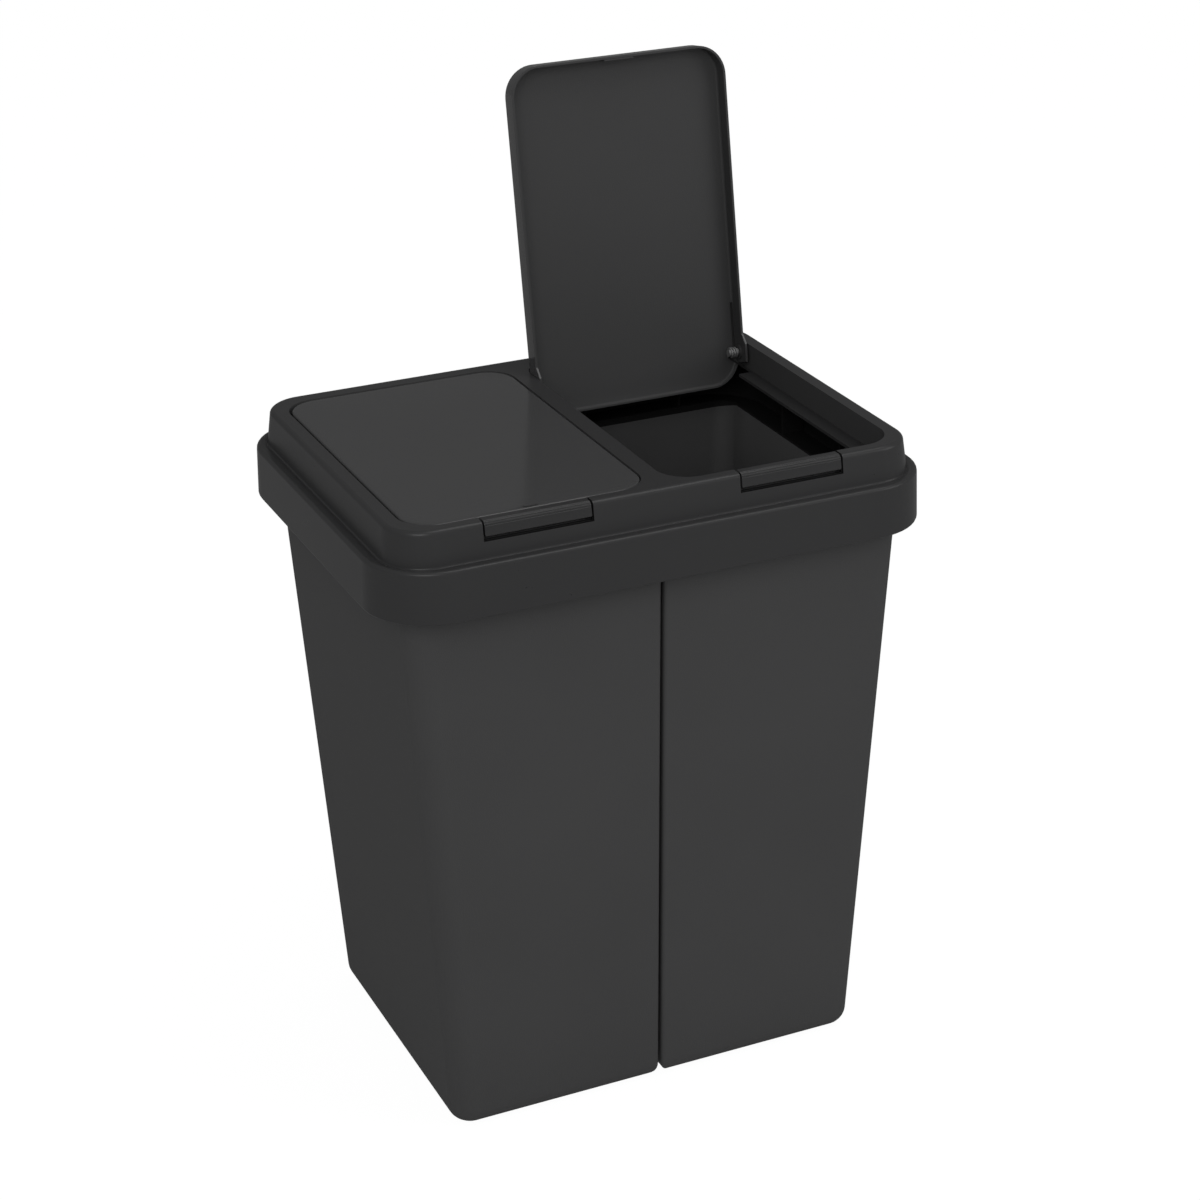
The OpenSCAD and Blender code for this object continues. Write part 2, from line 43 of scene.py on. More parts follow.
CAMERA_PLACE = Vector((-0.8141, -1.8650, 1.2979))
CAMERA_LENS = 83.1

azimuth = math.radians(CAMERA_AZIMUTH)
elevation = math.radians(CAMERA_ELEVATION)
roll = math.radians(CAMERA_ROLL)
back = Vector((math.sin(azimuth) * math.cos(elevation),
               -math.cos(azimuth) * math.cos(elevation), math.sin(elevation)))
level = Vector((math.cos(azimuth), math.sin(azimuth), 0.0))
upright = back.cross(level)
right_way = math.cos(roll) * level + math.sin(roll) * upright
up_way = -math.sin(roll) * level + math.cos(roll) * upright
camera = bpy.data.objects.new("camera", bpy.data.cameras.new("camera"))
bpy.context.scene.collection.objects.link(camera)
turn = Matrix((right_way, up_way, back)).transposed().to_4x4()
camera.matrix_world = Matrix.Translation(CAMERA_PLACE) @ turn
camera.data.lens = CAMERA_LENS
camera.data.sensor_width = 36.0
camera.data.clip_start = 0.05
bpy.context.scene.camera = camera
bpy.context.scene.view_settings.view_transform = "Standard"

# Studio: a white world for the camera, a dim one for the light, and soft lamps.
WORLD_LIGHT = 0.55
WORLD_MIRRORED = 0.14
WORLD_SEEN = 1.03

world = bpy.data.worlds.new("studio")
bpy.context.scene.world = world
world.use_nodes = True
nodes, links = world.node_tree.nodes, world.node_tree.links
nodes.clear()
seen = nodes.new("ShaderNodeLightPath")
lit = nodes.new("ShaderNodeBackground")
lit.inputs["Strength"].default_value = WORLD_LIGHT
mirrored = nodes.new("ShaderNodeBackground")
mirrored.inputs["Strength"].default_value = WORLD_MIRRORED
white = nodes.new("ShaderNodeBackground")
white.inputs["Strength"].default_value = WORLD_SEEN
for shade in (lit, mirrored, white):
    shade.inputs["Color"].default_value = (1.0, 1.0, 1.0, 1.0)
glossy_mix = nodes.new("ShaderNodeMixShader")
camera_mix = nodes.new("ShaderNodeMixShader")
world_out = nodes.new("ShaderNodeOutputWorld")
links.new(seen.outputs["Is Glossy Ray"], glossy_mix.inputs[0])
links.new(lit.outputs[0], glossy_mix.inputs[1])
links.new(mirrored.outputs[0], glossy_mix.inputs[2])
links.new(seen.outputs["Is Camera Ray"], camera_mix.inputs[0])
links.new(glossy_mix.outputs[0], camera_mix.inputs[1])
links.new(white.outputs[0], camera_mix.inputs[2])
links.new(camera_mix.outputs[0], world_out.inputs["Surface"])

LAMPS = {
    "key": ((-1.55, -2.45, 2.35), (0.0, 0.0, 0.35), 1.8, 34.0),
    "fill": ((2.2, -1.9, 1.6), (0.0, 0.0, 0.3), 1.6, 16.0),
    "top": ((0.75, -0.55, 2.8), (0.0, 0.0, 0.4), 1.3, 14.0),
}
for lamp_name, (place, aim, size, power) in LAMPS.items():
    lamp = bpy.data.objects.new(lamp_name, bpy.data.lights.new(lamp_name, "AREA"))
    bpy.context.scene.collection.objects.link(lamp)
    lamp.data.size = size
    lamp.data.energy = power
    lamp.location = place
    lamp.rotation_euler = (Vector(aim) - Vector(place)).to_track_quat("-Z", "Y").to_euler()

# Floor: a pale sheet that keeps a soft shadow under the buckets.
FLOOR_HALF = 6.0
FLOOR_SHADOW = 0.06
FLOOR_MIRRORED = 0.20
FLOOR_SEEN = 1.03

floor_mesh = bpy.data.meshes.new("floor")
corner = [(-FLOOR_HALF, -FLOOR_HALF, 0.0), (FLOOR_HALF, -FLOOR_HALF, 0.0),
          (FLOOR_HALF, FLOOR_HALF, 0.0), (-FLOOR_HALF, FLOOR_HALF, 0.0)]
floor_mesh.from_pydata(corner, [], [(0, 1, 2, 3)])
floor = bpy.data.objects.new("floor", floor_mesh)
bpy.context.scene.collection.objects.link(floor)
paper = bpy.data.materials.new("floor_paper")
paper.use_nodes = True
nodes, links = paper.node_tree.nodes, paper.node_tree.links
nodes.clear()
seen = nodes.new("ShaderNodeLightPath")
sheet = nodes.new("ShaderNodeBsdfDiffuse")
sheet.inputs["Color"].default_value = (0.90, 0.90, 0.90, 1.0)
glow = nodes.new("ShaderNodeEmission")
glow.inputs["Strength"].default_value = FLOOR_SEEN
part_glow = nodes.new("ShaderNodeMath")
part_glow.operation = "MULTIPLY"
part_glow.inputs[1].default_value = 1.0 - FLOOR_SHADOW
dim = nodes.new("ShaderNodeEmission")
dim.inputs["Strength"].default_value = FLOOR_MIRRORED
mirror_mix = nodes.new("ShaderNodeMixShader")
floor_mix = nodes.new("ShaderNodeMixShader")
floor_out = nodes.new("ShaderNodeOutputMaterial")
links.new(seen.outputs["Is Camera Ray"], part_glow.inputs[0])
links.new(part_glow.outputs[0], floor_mix.inputs[0])
links.new(seen.outputs["Is Glossy Ray"], mirror_mix.inputs[0])
links.new(sheet.outputs[0], mirror_mix.inputs[1])
links.new(dim.outputs[0], mirror_mix.inputs[2])
links.new(mirror_mix.outputs[0], floor_mix.inputs[1])
links.new(glow.outputs[0], floor_mix.inputs[2])
links.new(floor_mix.outputs[0], floor_out.inputs["Surface"])
floor.data.materials.append(paper)

# Buckets: two deep tapered pails of grained polypropylene, moulded in one piece each.
# The wall rises from a rounded foot to a flat lip, and the hollow follows it inside.
MM = 0.001
BIN_H = 466.0
BIN_GAP = 2.4
BIN_WALL = 2.4
BIN_FLOOR = 3.0
BIN_TOP, BIN_BASE = (206.2, 149.1), (178.8, 135.2)
BIN_OUTER_R, BIN_INNER_R = 18.5, 3.0
BIN_FOOT_R = 14.0
LIP_HALF, LIP_H, LIP_R = (224.5, 168.5), 3.0, 50.7
LIP_EDGE = 0.7
# Heights where the painted shadow in a bucket's mouth ends, at the front and sides and at the
# back.
SHADE_EDGE_SIDE_Z, SHADE_EDGE_BACK_Z = 464.8, 460.5
CORNER_STEPS = 12


def ring(x0, x1, y0, y1, radii, height, shares=()):
    """Points of a level rounded rectangle; radii start at (x0, y0) and go round.

    Shares of the straight sides in y get a point of their own.
    """
    centres = ((x0, y0, 1, 1, 180), (x1, y0, -1, 1, 270), (x1, y1, -1, -1, 0), (x0, y1, 1, -1, 90))
    points = []
    for (x, y, in_x, in_y, start), r in zip(centres, radii):
        for step in range(CORNER_STEPS + 1):
            a = math.radians(start + 90.0 * step / CORNER_STEPS)
            points.append(Vector((x + in_x * r + r * math.cos(a),
                                  y + in_y * r + r * math.sin(a), 0.0)))
        if start in (90, 270):
            for share in shares if start == 270 else reversed(shares):
                low, high = y0 + radii[1], y1 - radii[2]
                points.append(Vector((x, low + (high - low) * share, 0.0)))
    for p in points:
        p.z = height(p.y) if callable(height) else height
    return points


def arc(r, steps):
    """Pairs of cosine and sine times r, along a quarter circle."""
    for step in range(steps + 1):
        a = math.radians(90.0 * step / steps)
        yield r * math.cos(a), r * math.sin(a)


def loft(name, rings):
    """A closed mesh through rings of as many points each, in millimetres."""
    bm = bmesh.new()
    rows = [[bm.verts.new(p * MM) for p in points] for points in rings]
    bm.faces.new(list(reversed(rows[0])))
    bm.faces.new(rows[-1])
    for low, high in zip(rows, rows[1:]):
        for i in range(len(low)):
            j = (i + 1) % len(low)
            bm.faces.new((low[i], low[j], high[j], high[i]))
    bmesh.ops.recalc_face_normals(bm, faces=bm.faces)
    mesh = bpy.data.meshes.new(name)
    bm.to_mesh(mesh)
    bm.free()
    piece = bpy.data.objects.new(name, mesh)
    bpy.context.scene.collection.objects.link(piece)
    return piece


def smooth(piece, degrees=32):
    """Smooth shading, with creases where faces meet at more than an angle."""
    piece.data.shade_smooth()
    piece.data.set_sharp_from_angle(angle=math.radians(degrees))


def bin_ring(inset, z):
    half_x = BIN_BASE[0] + (BIN_TOP[0] - BIN_BASE[0]) * z / BIN_H - inset
    half_y = BIN_BASE[1] + (BIN_TOP[1] - BIN_BASE[1]) * z / BIN_H - inset
    near, far = max(BIN_INNER_R - inset, 1.0), max(BIN_OUTER_R - inset, 1.0)
    return ring(BIN_GAP / 2 + inset, half_x, -half_y, half_y, (near, far, far, near), z)


def lip_ring(share, z):
    """An outline between the bucket's wall at its top (share 0) and its rim lip (share 1)."""
    x = BIN_TOP[0] + (LIP_HALF[0] - BIN_TOP[0]) * share
    y = BIN_TOP[1] + (LIP_HALF[1] - BIN_TOP[1]) * share
    far = BIN_OUTER_R + (LIP_R - BIN_OUTER_R) * share
    return ring(BIN_GAP / 2, x, -y, y, (BIN_INNER_R, far, far, BIN_INNER_R), z)


BASE_HOLLOW, FOOT_RING = 2.0, 17.0
bin_rings = [bin_ring(FOOT_RING + 1.0, BASE_HOLLOW), bin_ring(FOOT_RING, 0.6),
             bin_ring(FOOT_RING - 0.6, 0.0)]
bin_rings += [bin_ring(BIN_FOOT_R - along, BIN_FOOT_R - up)
              for up, along in arc(BIN_FOOT_R, 8)]
bin_rings += [bin_ring(0.0, z) for z in (60.0, 150.0, 300.0, 420.0, BIN_H - LIP_H - 1.0)]
bin_rings += [lip_ring(0.04, BIN_H - LIP_H), lip_ring(0.97, BIN_H - LIP_H),
              lip_ring(1.0, BIN_H - LIP_H + LIP_EDGE)]
shaded_mouth_from = len(bin_rings)
bin_rings += [lip_ring(1.0, BIN_H - LIP_EDGE), lip_ring(0.97, BIN_H)]
bin_rings += [bin_ring(BIN_WALL - LIP_EDGE, BIN_H), bin_ring(BIN_WALL, BIN_H - LIP_EDGE)]
inside_from = len(bin_rings)
# The painted shadow in the mouth ends at this ring, lower at the back wall than at the front and
# sides.
shade_edge = bin_ring(BIN_WALL, SHADE_EDGE_BACK_Z)
for p in shade_edge:
    behind = min(max((p.y - BIN_TOP[1] + BIN_OUTER_R) / (BIN_OUTER_R - BIN_WALL), 0.0), 1.0)
    p.z = SHADE_EDGE_SIDE_Z + (SHADE_EDGE_BACK_Z - SHADE_EDGE_SIDE_Z) * behind
bin_rings.append(shade_edge)
bin_rings += [bin_ring(BIN_WALL, z) for z in (420.0, 300.0, 150.0, 60.0)]
inner_foot = BIN_FOOT_R - BIN_WALL
bin_rings += [bin_ring(BIN_WALL + inner_foot - along, BIN_FLOOR + inner_foot - up)
              for along, up in arc(inner_foot, 8)]


def value_group(name, inputs, outputs):
    """An empty shader node group with its sockets, and its input and output nodes."""
    group = bpy.data.node_groups.new(name, "ShaderNodeTree")
    for socket, default in inputs:
        made = group.interface.new_socket(socket, in_out="INPUT", socket_type="NodeSocketFloat")
        made.default_value = default
    for socket, kind in outputs:
        group.interface.new_socket(socket, in_out="OUTPUT", socket_type=kind)
    return group, group.nodes.new("NodeGroupInput"), group.nodes.new("NodeGroupOutput")


# Moulding effects, in one group: a fine spark-eroded grain as height, slow flow marks
# as a mask, and rare rubbed specks.
grain_group, grain_in, grain_out = value_group(
    "moulding_grain", (("Grain Scale", 900.0), ("Flow Scale", 7.0)),
    (("Grain", "NodeSocketFloat"), ("Flow", "NodeSocketFloat"), ("Specks", "NodeSocketFloat")))
place = grain_group.nodes.new("ShaderNodeTexCoord")
fine = grain_group.nodes.new("ShaderNodeTexNoise")
fine.inputs["Detail"].default_value = 3.0
slow = grain_group.nodes.new("ShaderNodeTexNoise")
slow.inputs["Detail"].default_value = 2.0
speck = grain_group.nodes.new("ShaderNodeTexNoise")
speck.inputs["Scale"].default_value = 160.0
speck.inputs["Detail"].default_value = 4.0
speck_step = grain_group.nodes.new("ShaderNodeMapRange")
speck_step.inputs["From Min"].default_value = 0.66
speck_step.inputs["From Max"].default_value = 0.80
for texture in (fine, slow, speck):
    grain_group.links.new(place.outputs["Object"], texture.inputs["Vector"])
grain_group.links.new(grain_in.outputs["Grain Scale"], fine.inputs["Scale"])
grain_group.links.new(grain_in.outputs["Flow Scale"], slow.inputs["Scale"])
grain_group.links.new(speck.outputs["Fac"], speck_step.inputs["Value"])
grain_group.links.new(fine.outputs["Fac"], grain_out.inputs["Grain"])
grain_group.links.new(slow.outputs["Fac"], grain_out.inputs["Flow"])
grain_group.links.new(speck_step.outputs["Result"], grain_out.inputs["Specks"])


def moulded_plastic(name, dark, light, rough, rough_spread, bump, grain_scale, specular):
    """Polypropylene: its shade drifts with the flow marks and its grain breaks the shine."""
    made = bpy.data.materials.new(name)
    made.use_nodes = True
    nodes, links = made.node_tree.nodes, made.node_tree.links
    shader = nodes["Principled BSDF"]
    shader.inputs["Specular IOR Level"].default_value = specular
    shader.inputs["IOR"].default_value = 1.49
    grain = nodes.new("ShaderNodeGroup")
    grain.node_tree = grain_group
    grain.inputs["Grain Scale"].default_value = grain_scale
    tint = nodes.new("ShaderNodeMix")
    tint.data_type = "RGBA"
    tint.inputs["A"].default_value = (*dark, 1.0)
    tint.inputs["B"].default_value = (*light, 1.0)
    shine = nodes.new("ShaderNodeMapRange")
    shine.inputs["To Min"].default_value = rough - rough_spread
    shine.inputs["To Max"].default_value = rough + rough_spread
    rubbed = nodes.new("ShaderNodeMath")
    rubbed.operation = "MULTIPLY_ADD"
    rubbed.inputs[1].default_value = -rough_spread
    relief = nodes.new("ShaderNodeBump")
    relief.inputs["Strength"].default_value = bump
    relief.inputs["Distance"].default_value = 0.0004
    links.new(grain.outputs["Flow"], tint.inputs["Factor"])
    links.new(tint.outputs["Result"], shader.inputs["Base Color"])
    links.new(grain.outputs["Flow"], shine.inputs["Value"])
    links.new(grain.outputs["Specks"], rubbed.inputs[0])
    links.new(shine.outputs["Result"], rubbed.inputs[2])
    links.new(rubbed.outputs[0], shader.inputs["Roughness"])
    links.new(grain.outputs["Grain"], relief.inputs["Height"])
    links.new(relief.outputs["Normal"], shader.inputs["Normal"])
    return made


bin_plastic = moulded_plastic("bin_plastic", (0.0425, 0.0425, 0.0430), (0.0485, 0.0485, 0.0490),
                              0.52, 0.05, 0.25, 900.0, 0.25)
# Painted light: the buckets' hollow gets a lighter copy of the same plastic, in place of the light
# that falls in through the mouth.
bin_inside_painted_light = moulded_plastic("bin_inside_plastic_painted_light", (0.066, 0.066, 0.0665), (0.073, 0.073, 0.0735),
                             0.52, 0.05, 0.25, 900.0, 0.25)
# Painted shadow: the rims and the cover's inside get a near-black copy of the plastic,
# darker than the same plastic outside, in place of the deep shadow they lie in.
mouth_painted_shadow = moulded_plastic("mouth_painted_shadow", (0.009, 0.009, 0.009), (0.011, 0.011, 0.011),
                              0.60, 0.05, 0.10, 900.0, 0.05)
row_points = 4 * (CORNER_STEPS + 1)
for side, body_node in ((-1, "left_bin"), (1, "right_bin")):
    bucket = loft(body_node + "_shell", bin_rings)
    bucket.data.transform(Matrix.Scale(side, 4, (1, 0, 0)))
    if side < 0:
        bucket.data.flip_normals()
    smooth(bucket)
    for shade in (bin_plastic, mouth_painted_shadow, bin_inside_painted_light):
        bucket.data.materials.append(shade)
    # Faces from the lip's top edge down the inside to the shade edge take the painted shadow, the
    # hollow below takes the painted light, and the outside takes the plain plastic.
    for face in bucket.data.polygons:
        low = min(face.vertices) // row_points
        face.material_index = 2 if low >= inside_from else 1 if low >= shaded_mouth_from else 0
    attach(bucket, "bins")
    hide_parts(body_node)

# Cover: one satin moulding. A deep skirt hides the bucket rims, a shoulder and a groove
# lead up to the raised rim, and two tubs with ledges hold the lids.
TOP_Z = 530.0
SHELF_Z = 503.0
SKIRT_Z = 462.0
SKIRT_HALF = (228.0, 172.0)
SKIRT_R, SKIRT_DRAFT = 54.0, 1.2
SHOULDER_R = 3.0
RIM_STEP, RIM_R, RIM_DRAFT = 12.1, 34.5, 3.0
RIM_EDGE_R = 4.0
COVER_WALL = 2.5
LID_X, LID_HALF, POCKET_HALF = 103.5, 94.9, 96.3
LID_FRONT, LID_BACK, LID_R = -145.5, 141.0, 25.0
SEAM, BACK_SEAM = 1.0, 1.3
LEDGE_Z, LEDGE_W, LEDGE_END_Y = 508.0, 13.0, 94.0
OPENING_R = 15.0
HINGE = (112.0, 521.0)
BUTTON_HALF = 42.0
BUTTON_GAP = 1.5
SLOT_Z, POCKET_Z = 515.3, 512.0
SHELF_IN = SKIRT_DRAFT + SHOULDER_R
HOUSING_SIDE, HOUSING_FRONT = 2.9, -155.0
SLOT_FRONT, POCKET_FRONT = -166.0, -153.9
ROD_SIDES = 48


def cover_ring(inset, z):
    """The skirt's and rim's outline, whose corners tighten over the shelf between them."""
    shelf = min(max((inset - SHELF_IN) / (RIM_STEP - SHELF_IN), 0.0), 1.0)
    r = (SKIRT_R - min(inset, SHELF_IN)) * (1.0 - shelf) + RIM_R * shelf
    r -= max(inset - RIM_STEP, 0.0)
    x, y = SKIRT_HALF[0] - inset, SKIRT_HALF[1] - inset
    return ring(-x, x, -y, y, (r, r, r, r), z)


outside = [cover_ring(COVER_WALL - 0.4, SKIRT_Z), cover_ring(1.3, SKIRT_Z),
           cover_ring(0.5, SKIRT_Z + 0.3), cover_ring(0.1, SKIRT_Z + 1.3)]
outside += [cover_ring(SHELF_IN - along, SHELF_Z - SHOULDER_R + up)
            for along, up in arc(SHOULDER_R, 6)]
GROOVE = ((8.8, 502.9), (9.8, 502.5), (10.7, 502.2), (11.5, 502.5), (12.0, 503.6), (12.3, 505.5))
outside += [cover_ring(inset, z) for inset, z in GROOVE]
outside += [cover_ring(RIM_STEP + RIM_DRAFT + RIM_EDGE_R - along, TOP_Z - RIM_EDGE_R + up)
            for along, up in arc(RIM_EDGE_R, 7)]
CAVITY = ((0.0, SKIRT_Z - 1.0), (1.0, 496.0), (2.2, 499.6), (SHELF_IN, 500.5), (RIM_STEP, 500.6),
          (RIM_STEP + 2.4, 525.0), (RIM_STEP + 4.5, TOP_Z - COVER_WALL))
inside = [cover_ring(COVER_WALL + inset, z) for inset, z in CAVITY]


def block(name, x0, x1, y0, y1, z0, z1, radii):
    """An upright block with round corners."""
    return loft(name, [ring(x0, x1, y0, y1, radii, z0), ring(x0, x1, y0, y1, radii, z1)])


def rod(name, x0, x1, y, z, r):
    """A rod along X."""
    rows = []
    for x in (x0, x1):
        rows.append([Vector((x, y + r * math.cos(2 * math.pi * i / ROD_SIDES),
                             z + r * math.sin(2 * math.pi * i / ROD_SIDES)))
                     for i in range(ROD_SIDES)])
    return loft(name, rows)


def cut(piece, tool, operation):
    """Joins a tool to a piece or takes it away, and deletes the tool."""
    step = piece.modifiers.new(operation, "BOOLEAN")
    step.operation = operation
    step.solver = "EXACT"
    step.material_mode = "TRANSFER"
    step.object = tool
    bpy.context.view_layer.update()
    done = bpy.data.meshes.new_from_object(piece.evaluated_get(
        bpy.context.evaluated_depsgraph_get()))
    piece.modifiers.clear()
    piece.data = done
    bpy.data.objects.remove(tool)


cover_plastic = moulded_plastic("cover_plastic", (0.0275, 0.0275, 0.028), (0.031, 0.031, 0.0315),
                                0.29, 0.03, 0.10, 1400.0, 0.22)
cover = loft("cover_shell", outside)
cover.data.materials.append(cover_plastic)
# Painted light and shade: the pockets' upright walls get a lighter copy of the cover plastic for
# the light on them, and their ledges a darker copy for the shade on them.
pocket_wall_painted_light = moulded_plastic("pocket_wall_plastic_painted_light", (0.043, 0.043, 0.0435),
                              (0.048, 0.048, 0.0485), 0.42, 0.04, 0.12, 1200.0, 0.30)
ledge_painted_shade = moulded_plastic("ledge_plastic_painted_shade", (0.023, 0.023, 0.0235), (0.027, 0.027, 0.0275),
                            0.42, 0.04, 0.12, 1200.0, 0.25)
# Its faces carry the painted shadow onto the cover's inside.
cavity = loft("cover_cavity", inside)
cavity.data.materials.append(mouth_painted_shadow)
cut(cover, cavity, "DIFFERENCE")
for side in (-1, 1):
    tub_in, tub_out = LID_X - POCKET_HALF, LID_X + POCKET_HALF
    tub_front, tub_back = LID_FRONT - SEAM, LID_BACK + BACK_SEAM
    r = LID_R + SEAM
    wall = COVER_WALL
    slot_half = BUTTON_HALF + BUTTON_GAP
    joined = (
        block("tub", tub_in - wall, tub_out + wall, tub_front - wall, tub_back + wall,
              LEDGE_Z - wall, TOP_Z - 1.3, (r + wall,) * 4),
        block("housing", LID_X - slot_half - HOUSING_SIDE, LID_X + slot_half + HOUSING_SIDE,
              HOUSING_FRONT, tub_front + 0.2, POCKET_Z - wall, TOP_Z - 1.4, (0.4,) * 4),
    )
    ledge_low, ledge_high = LEDGE_Z - wall - 1.0, LEDGE_Z + 1.0
    taken = (
        block("pocket", tub_in, tub_out, tub_front, tub_back, LEDGE_Z, TOP_Z + 2.0, (r,) * 4),
        block("opening", tub_in + LEDGE_W, tub_out - LEDGE_W, tub_front + LEDGE_W,
              LEDGE_END_Y + OPENING_R, ledge_low, ledge_high, (OPENING_R,) * 4),
        block("swing_space", tub_in + 0.05, tub_out - 0.05, LEDGE_END_Y, tub_back - 0.05,
              ledge_low - 0.1, ledge_high + 0.1, (1.0, 1.0, r, r)),
        block("button_slot", LID_X - slot_half, LID_X + slot_half, SLOT_FRONT,
              tub_front + 0.6, SLOT_Z, TOP_Z + 2.5, (0.5,) * 4),
        block("button_pocket", LID_X - slot_half, LID_X + slot_half, POCKET_FRONT,
              tub_front + 0.5, POCKET_Z, SLOT_Z + 1.0, (0.5,) * 4),
    )
    # Upright pocket faces take the painted light, level ones the painted shade.
    for shade in (pocket_wall_painted_light, ledge_painted_shade):
        taken[0].data.materials.append(shade)
    for face in taken[0].data.polygons:
        face.material_index = 1 if abs(face.normal.z) > 0.5 else 0
    # The latch slots and pockets take the painted shadow too.
    for hollow in taken[3:]:
        hollow.data.materials.append(mouth_painted_shadow)
    for operation, tools in (("UNION", joined), ("DIFFERENCE", taken)):
        for tool in tools:
            tool.data.transform(Matrix.Scale(side, 4, (1, 0, 0)))
            if side < 0:
                tool.data.flip_normals()
            cut(cover, tool, operation)

COVER_BEVEL = 0.0006
soften = cover.modifiers.new("soft_edges", "BEVEL")
soften.width = COVER_BEVEL
soften.segments = 2
soften.limit_method = "ANGLE"
soften.angle_limit = math.radians(50)
soften.harden_normals = False
cover.data.shade_smooth()
even = cover.modifiers.new("even_normals", "WEIGHTED_NORMAL")
even.keep_sharp = True
cover.data.set_sharp_from_angle(angle=math.radians(50))
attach(cover, "cover")
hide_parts("cover_frame")

# Ribs inside the skirt: thin fins that stand on the bucket rims, eight across the front
# and back and four at the sides. They get the same painted shadow as the rest of the cover's
# inside.
RIB_HALF = 1.25
RIB_ACROSS, RIB_ALONG = (0.33, 0.76), 0.33
RIB_Y, RIB_X = (147.0, 167.5), (204.0, 223.5)
RIB_EDGE = 0.0003
rib_blocks = []
for x_share in RIB_ACROSS:
    for side_x in (-1, 1):
        for side_y in (-1, 1):
            x = side_x * x_share * BIN_TOP[0]
            rib_blocks.append((x - RIB_HALF, x + RIB_HALF, side_y * RIB_Y[0], side_y * RIB_Y[1],
                               BIN_H, SHELF_Z - 2.0))
for side_x in (-1, 1):
    for side_y in (-1, 1):
        y = side_y * RIB_ALONG * BIN_TOP[1]
        rib_blocks.append((side_x * RIB_X[0], side_x * RIB_X[1], y - RIB_HALF, y + RIB_HALF,
                           BIN_H, SHELF_Z - 2.0))
rib_mesh = bmesh.new()
for x0, x1, y0, y1, z0, z1 in rib_blocks:
    made = bmesh.ops.create_cube(rib_mesh, size=MM)
    middle = Vector(((x0 + x1) / 2, (y0 + y1) / 2, (z0 + z1) / 2)) * MM
    bmesh.ops.scale(rib_mesh, vec=(abs(x1 - x0), abs(y1 - y0), z1 - z0), verts=made["verts"])
    bmesh.ops.translate(rib_mesh, vec=middle, verts=made["verts"])
bmesh.ops.bevel(rib_mesh, geom=rib_mesh.edges[:], offset=RIB_EDGE, segments=1, affect="EDGES")
ribs_data = bpy.data.meshes.new("skirt_ribs")
rib_mesh.to_mesh(ribs_data)
rib_mesh.free()
ribs = bpy.data.objects.new("skirt_ribs", ribs_data)
bpy.context.scene.collection.objects.link(ribs)
ribs.data.materials.append(mouth_painted_shadow)
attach(ribs, "cover")

# Lids: shallow trays, glossy and slightly crowned on top, matt inside. Their walls are
# deeper at the hinge, where bosses take the pins, and end behind it; the right one is open.
LID_TOP, LID_WALL = 2.2, 2.0
LID_DEPTH, LID_HINGE_DEPTH = 16.0, 22.0
LID_EDGE_R = 1.8
LID_SHIFT = 0.7
LID_CROWN = 0.9
DEEP_FROM_Y, DEEP_TO_Y = 104.0, 120.0
BACK_DEPTH = 5.0
OPEN_ANGLE = 99.0
BOSS_R, CATCH_HALF, MARK_HALF = 6.0, 13.0, 5.5


def lid_foot(drop):
    """Height of a lid's wall edge: ramps lead to the deeper part at the hinge and back up."""
    def height(y):
        ramp = min(max((y - (DEEP_FROM_Y - 8.0)) / 8.0, 0.0), 1.0)
        rise = min(max((y - DEEP_TO_Y) / 2.0, 0.0), 1.0)
        deep = LID_DEPTH + (LID_HINGE_DEPTH - LID_DEPTH) * ramp
        return TOP_Z - deep + (deep - BACK_DEPTH) * rise + drop
    return height


SIDE_SHARES = (0.915, 0.949)


def lid_ring(inset, height):
    r = max(LID_R - inset, 1.0)
    return ring(LID_X - LID_HALF - LID_SHIFT + inset, LID_X + LID_HALF - LID_SHIFT - inset,
                LID_FRONT + inset, LID_BACK - inset, (r,) * 4, height, SIDE_SHARES)


lid_rings = [lid_ring(LID_WALL - 0.3, lid_foot(0.0)), lid_ring(0.3, lid_foot(0.0)),
             lid_ring(0.0, lid_foot(0.3))]
lid_rings += [lid_ring(LID_EDGE_R - along, TOP_Z - LID_CROWN - LID_EDGE_R + 0.6 + up)
              for along, up in arc(LID_EDGE_R, 6)]
for inset in (6.0, 12.0, 22.0, 36.0, 52.0, 70.0, 88.0):
    rise = 1.0 - (1.0 - inset / 96.0) ** 2
    lid_rings.append(lid_ring(inset, TOP_Z - LID_CROWN + 0.6 + (LID_CROWN - 0.6) * rise))
inner = [lid_ring(LID_WALL, lid_foot(0.3)), lid_ring(LID_WALL, TOP_Z - LID_TOP - 2.5)]
inner += [lid_ring(LID_WALL + 2.0 - along, TOP_Z - LID_TOP - 2.5 + up * 0.9)
          for along, up in arc(2.0, 4)]
inner += [lid_ring(inset, TOP_Z - LID_TOP - 0.5) for inset in (12.0, 50.0, 88.0)]

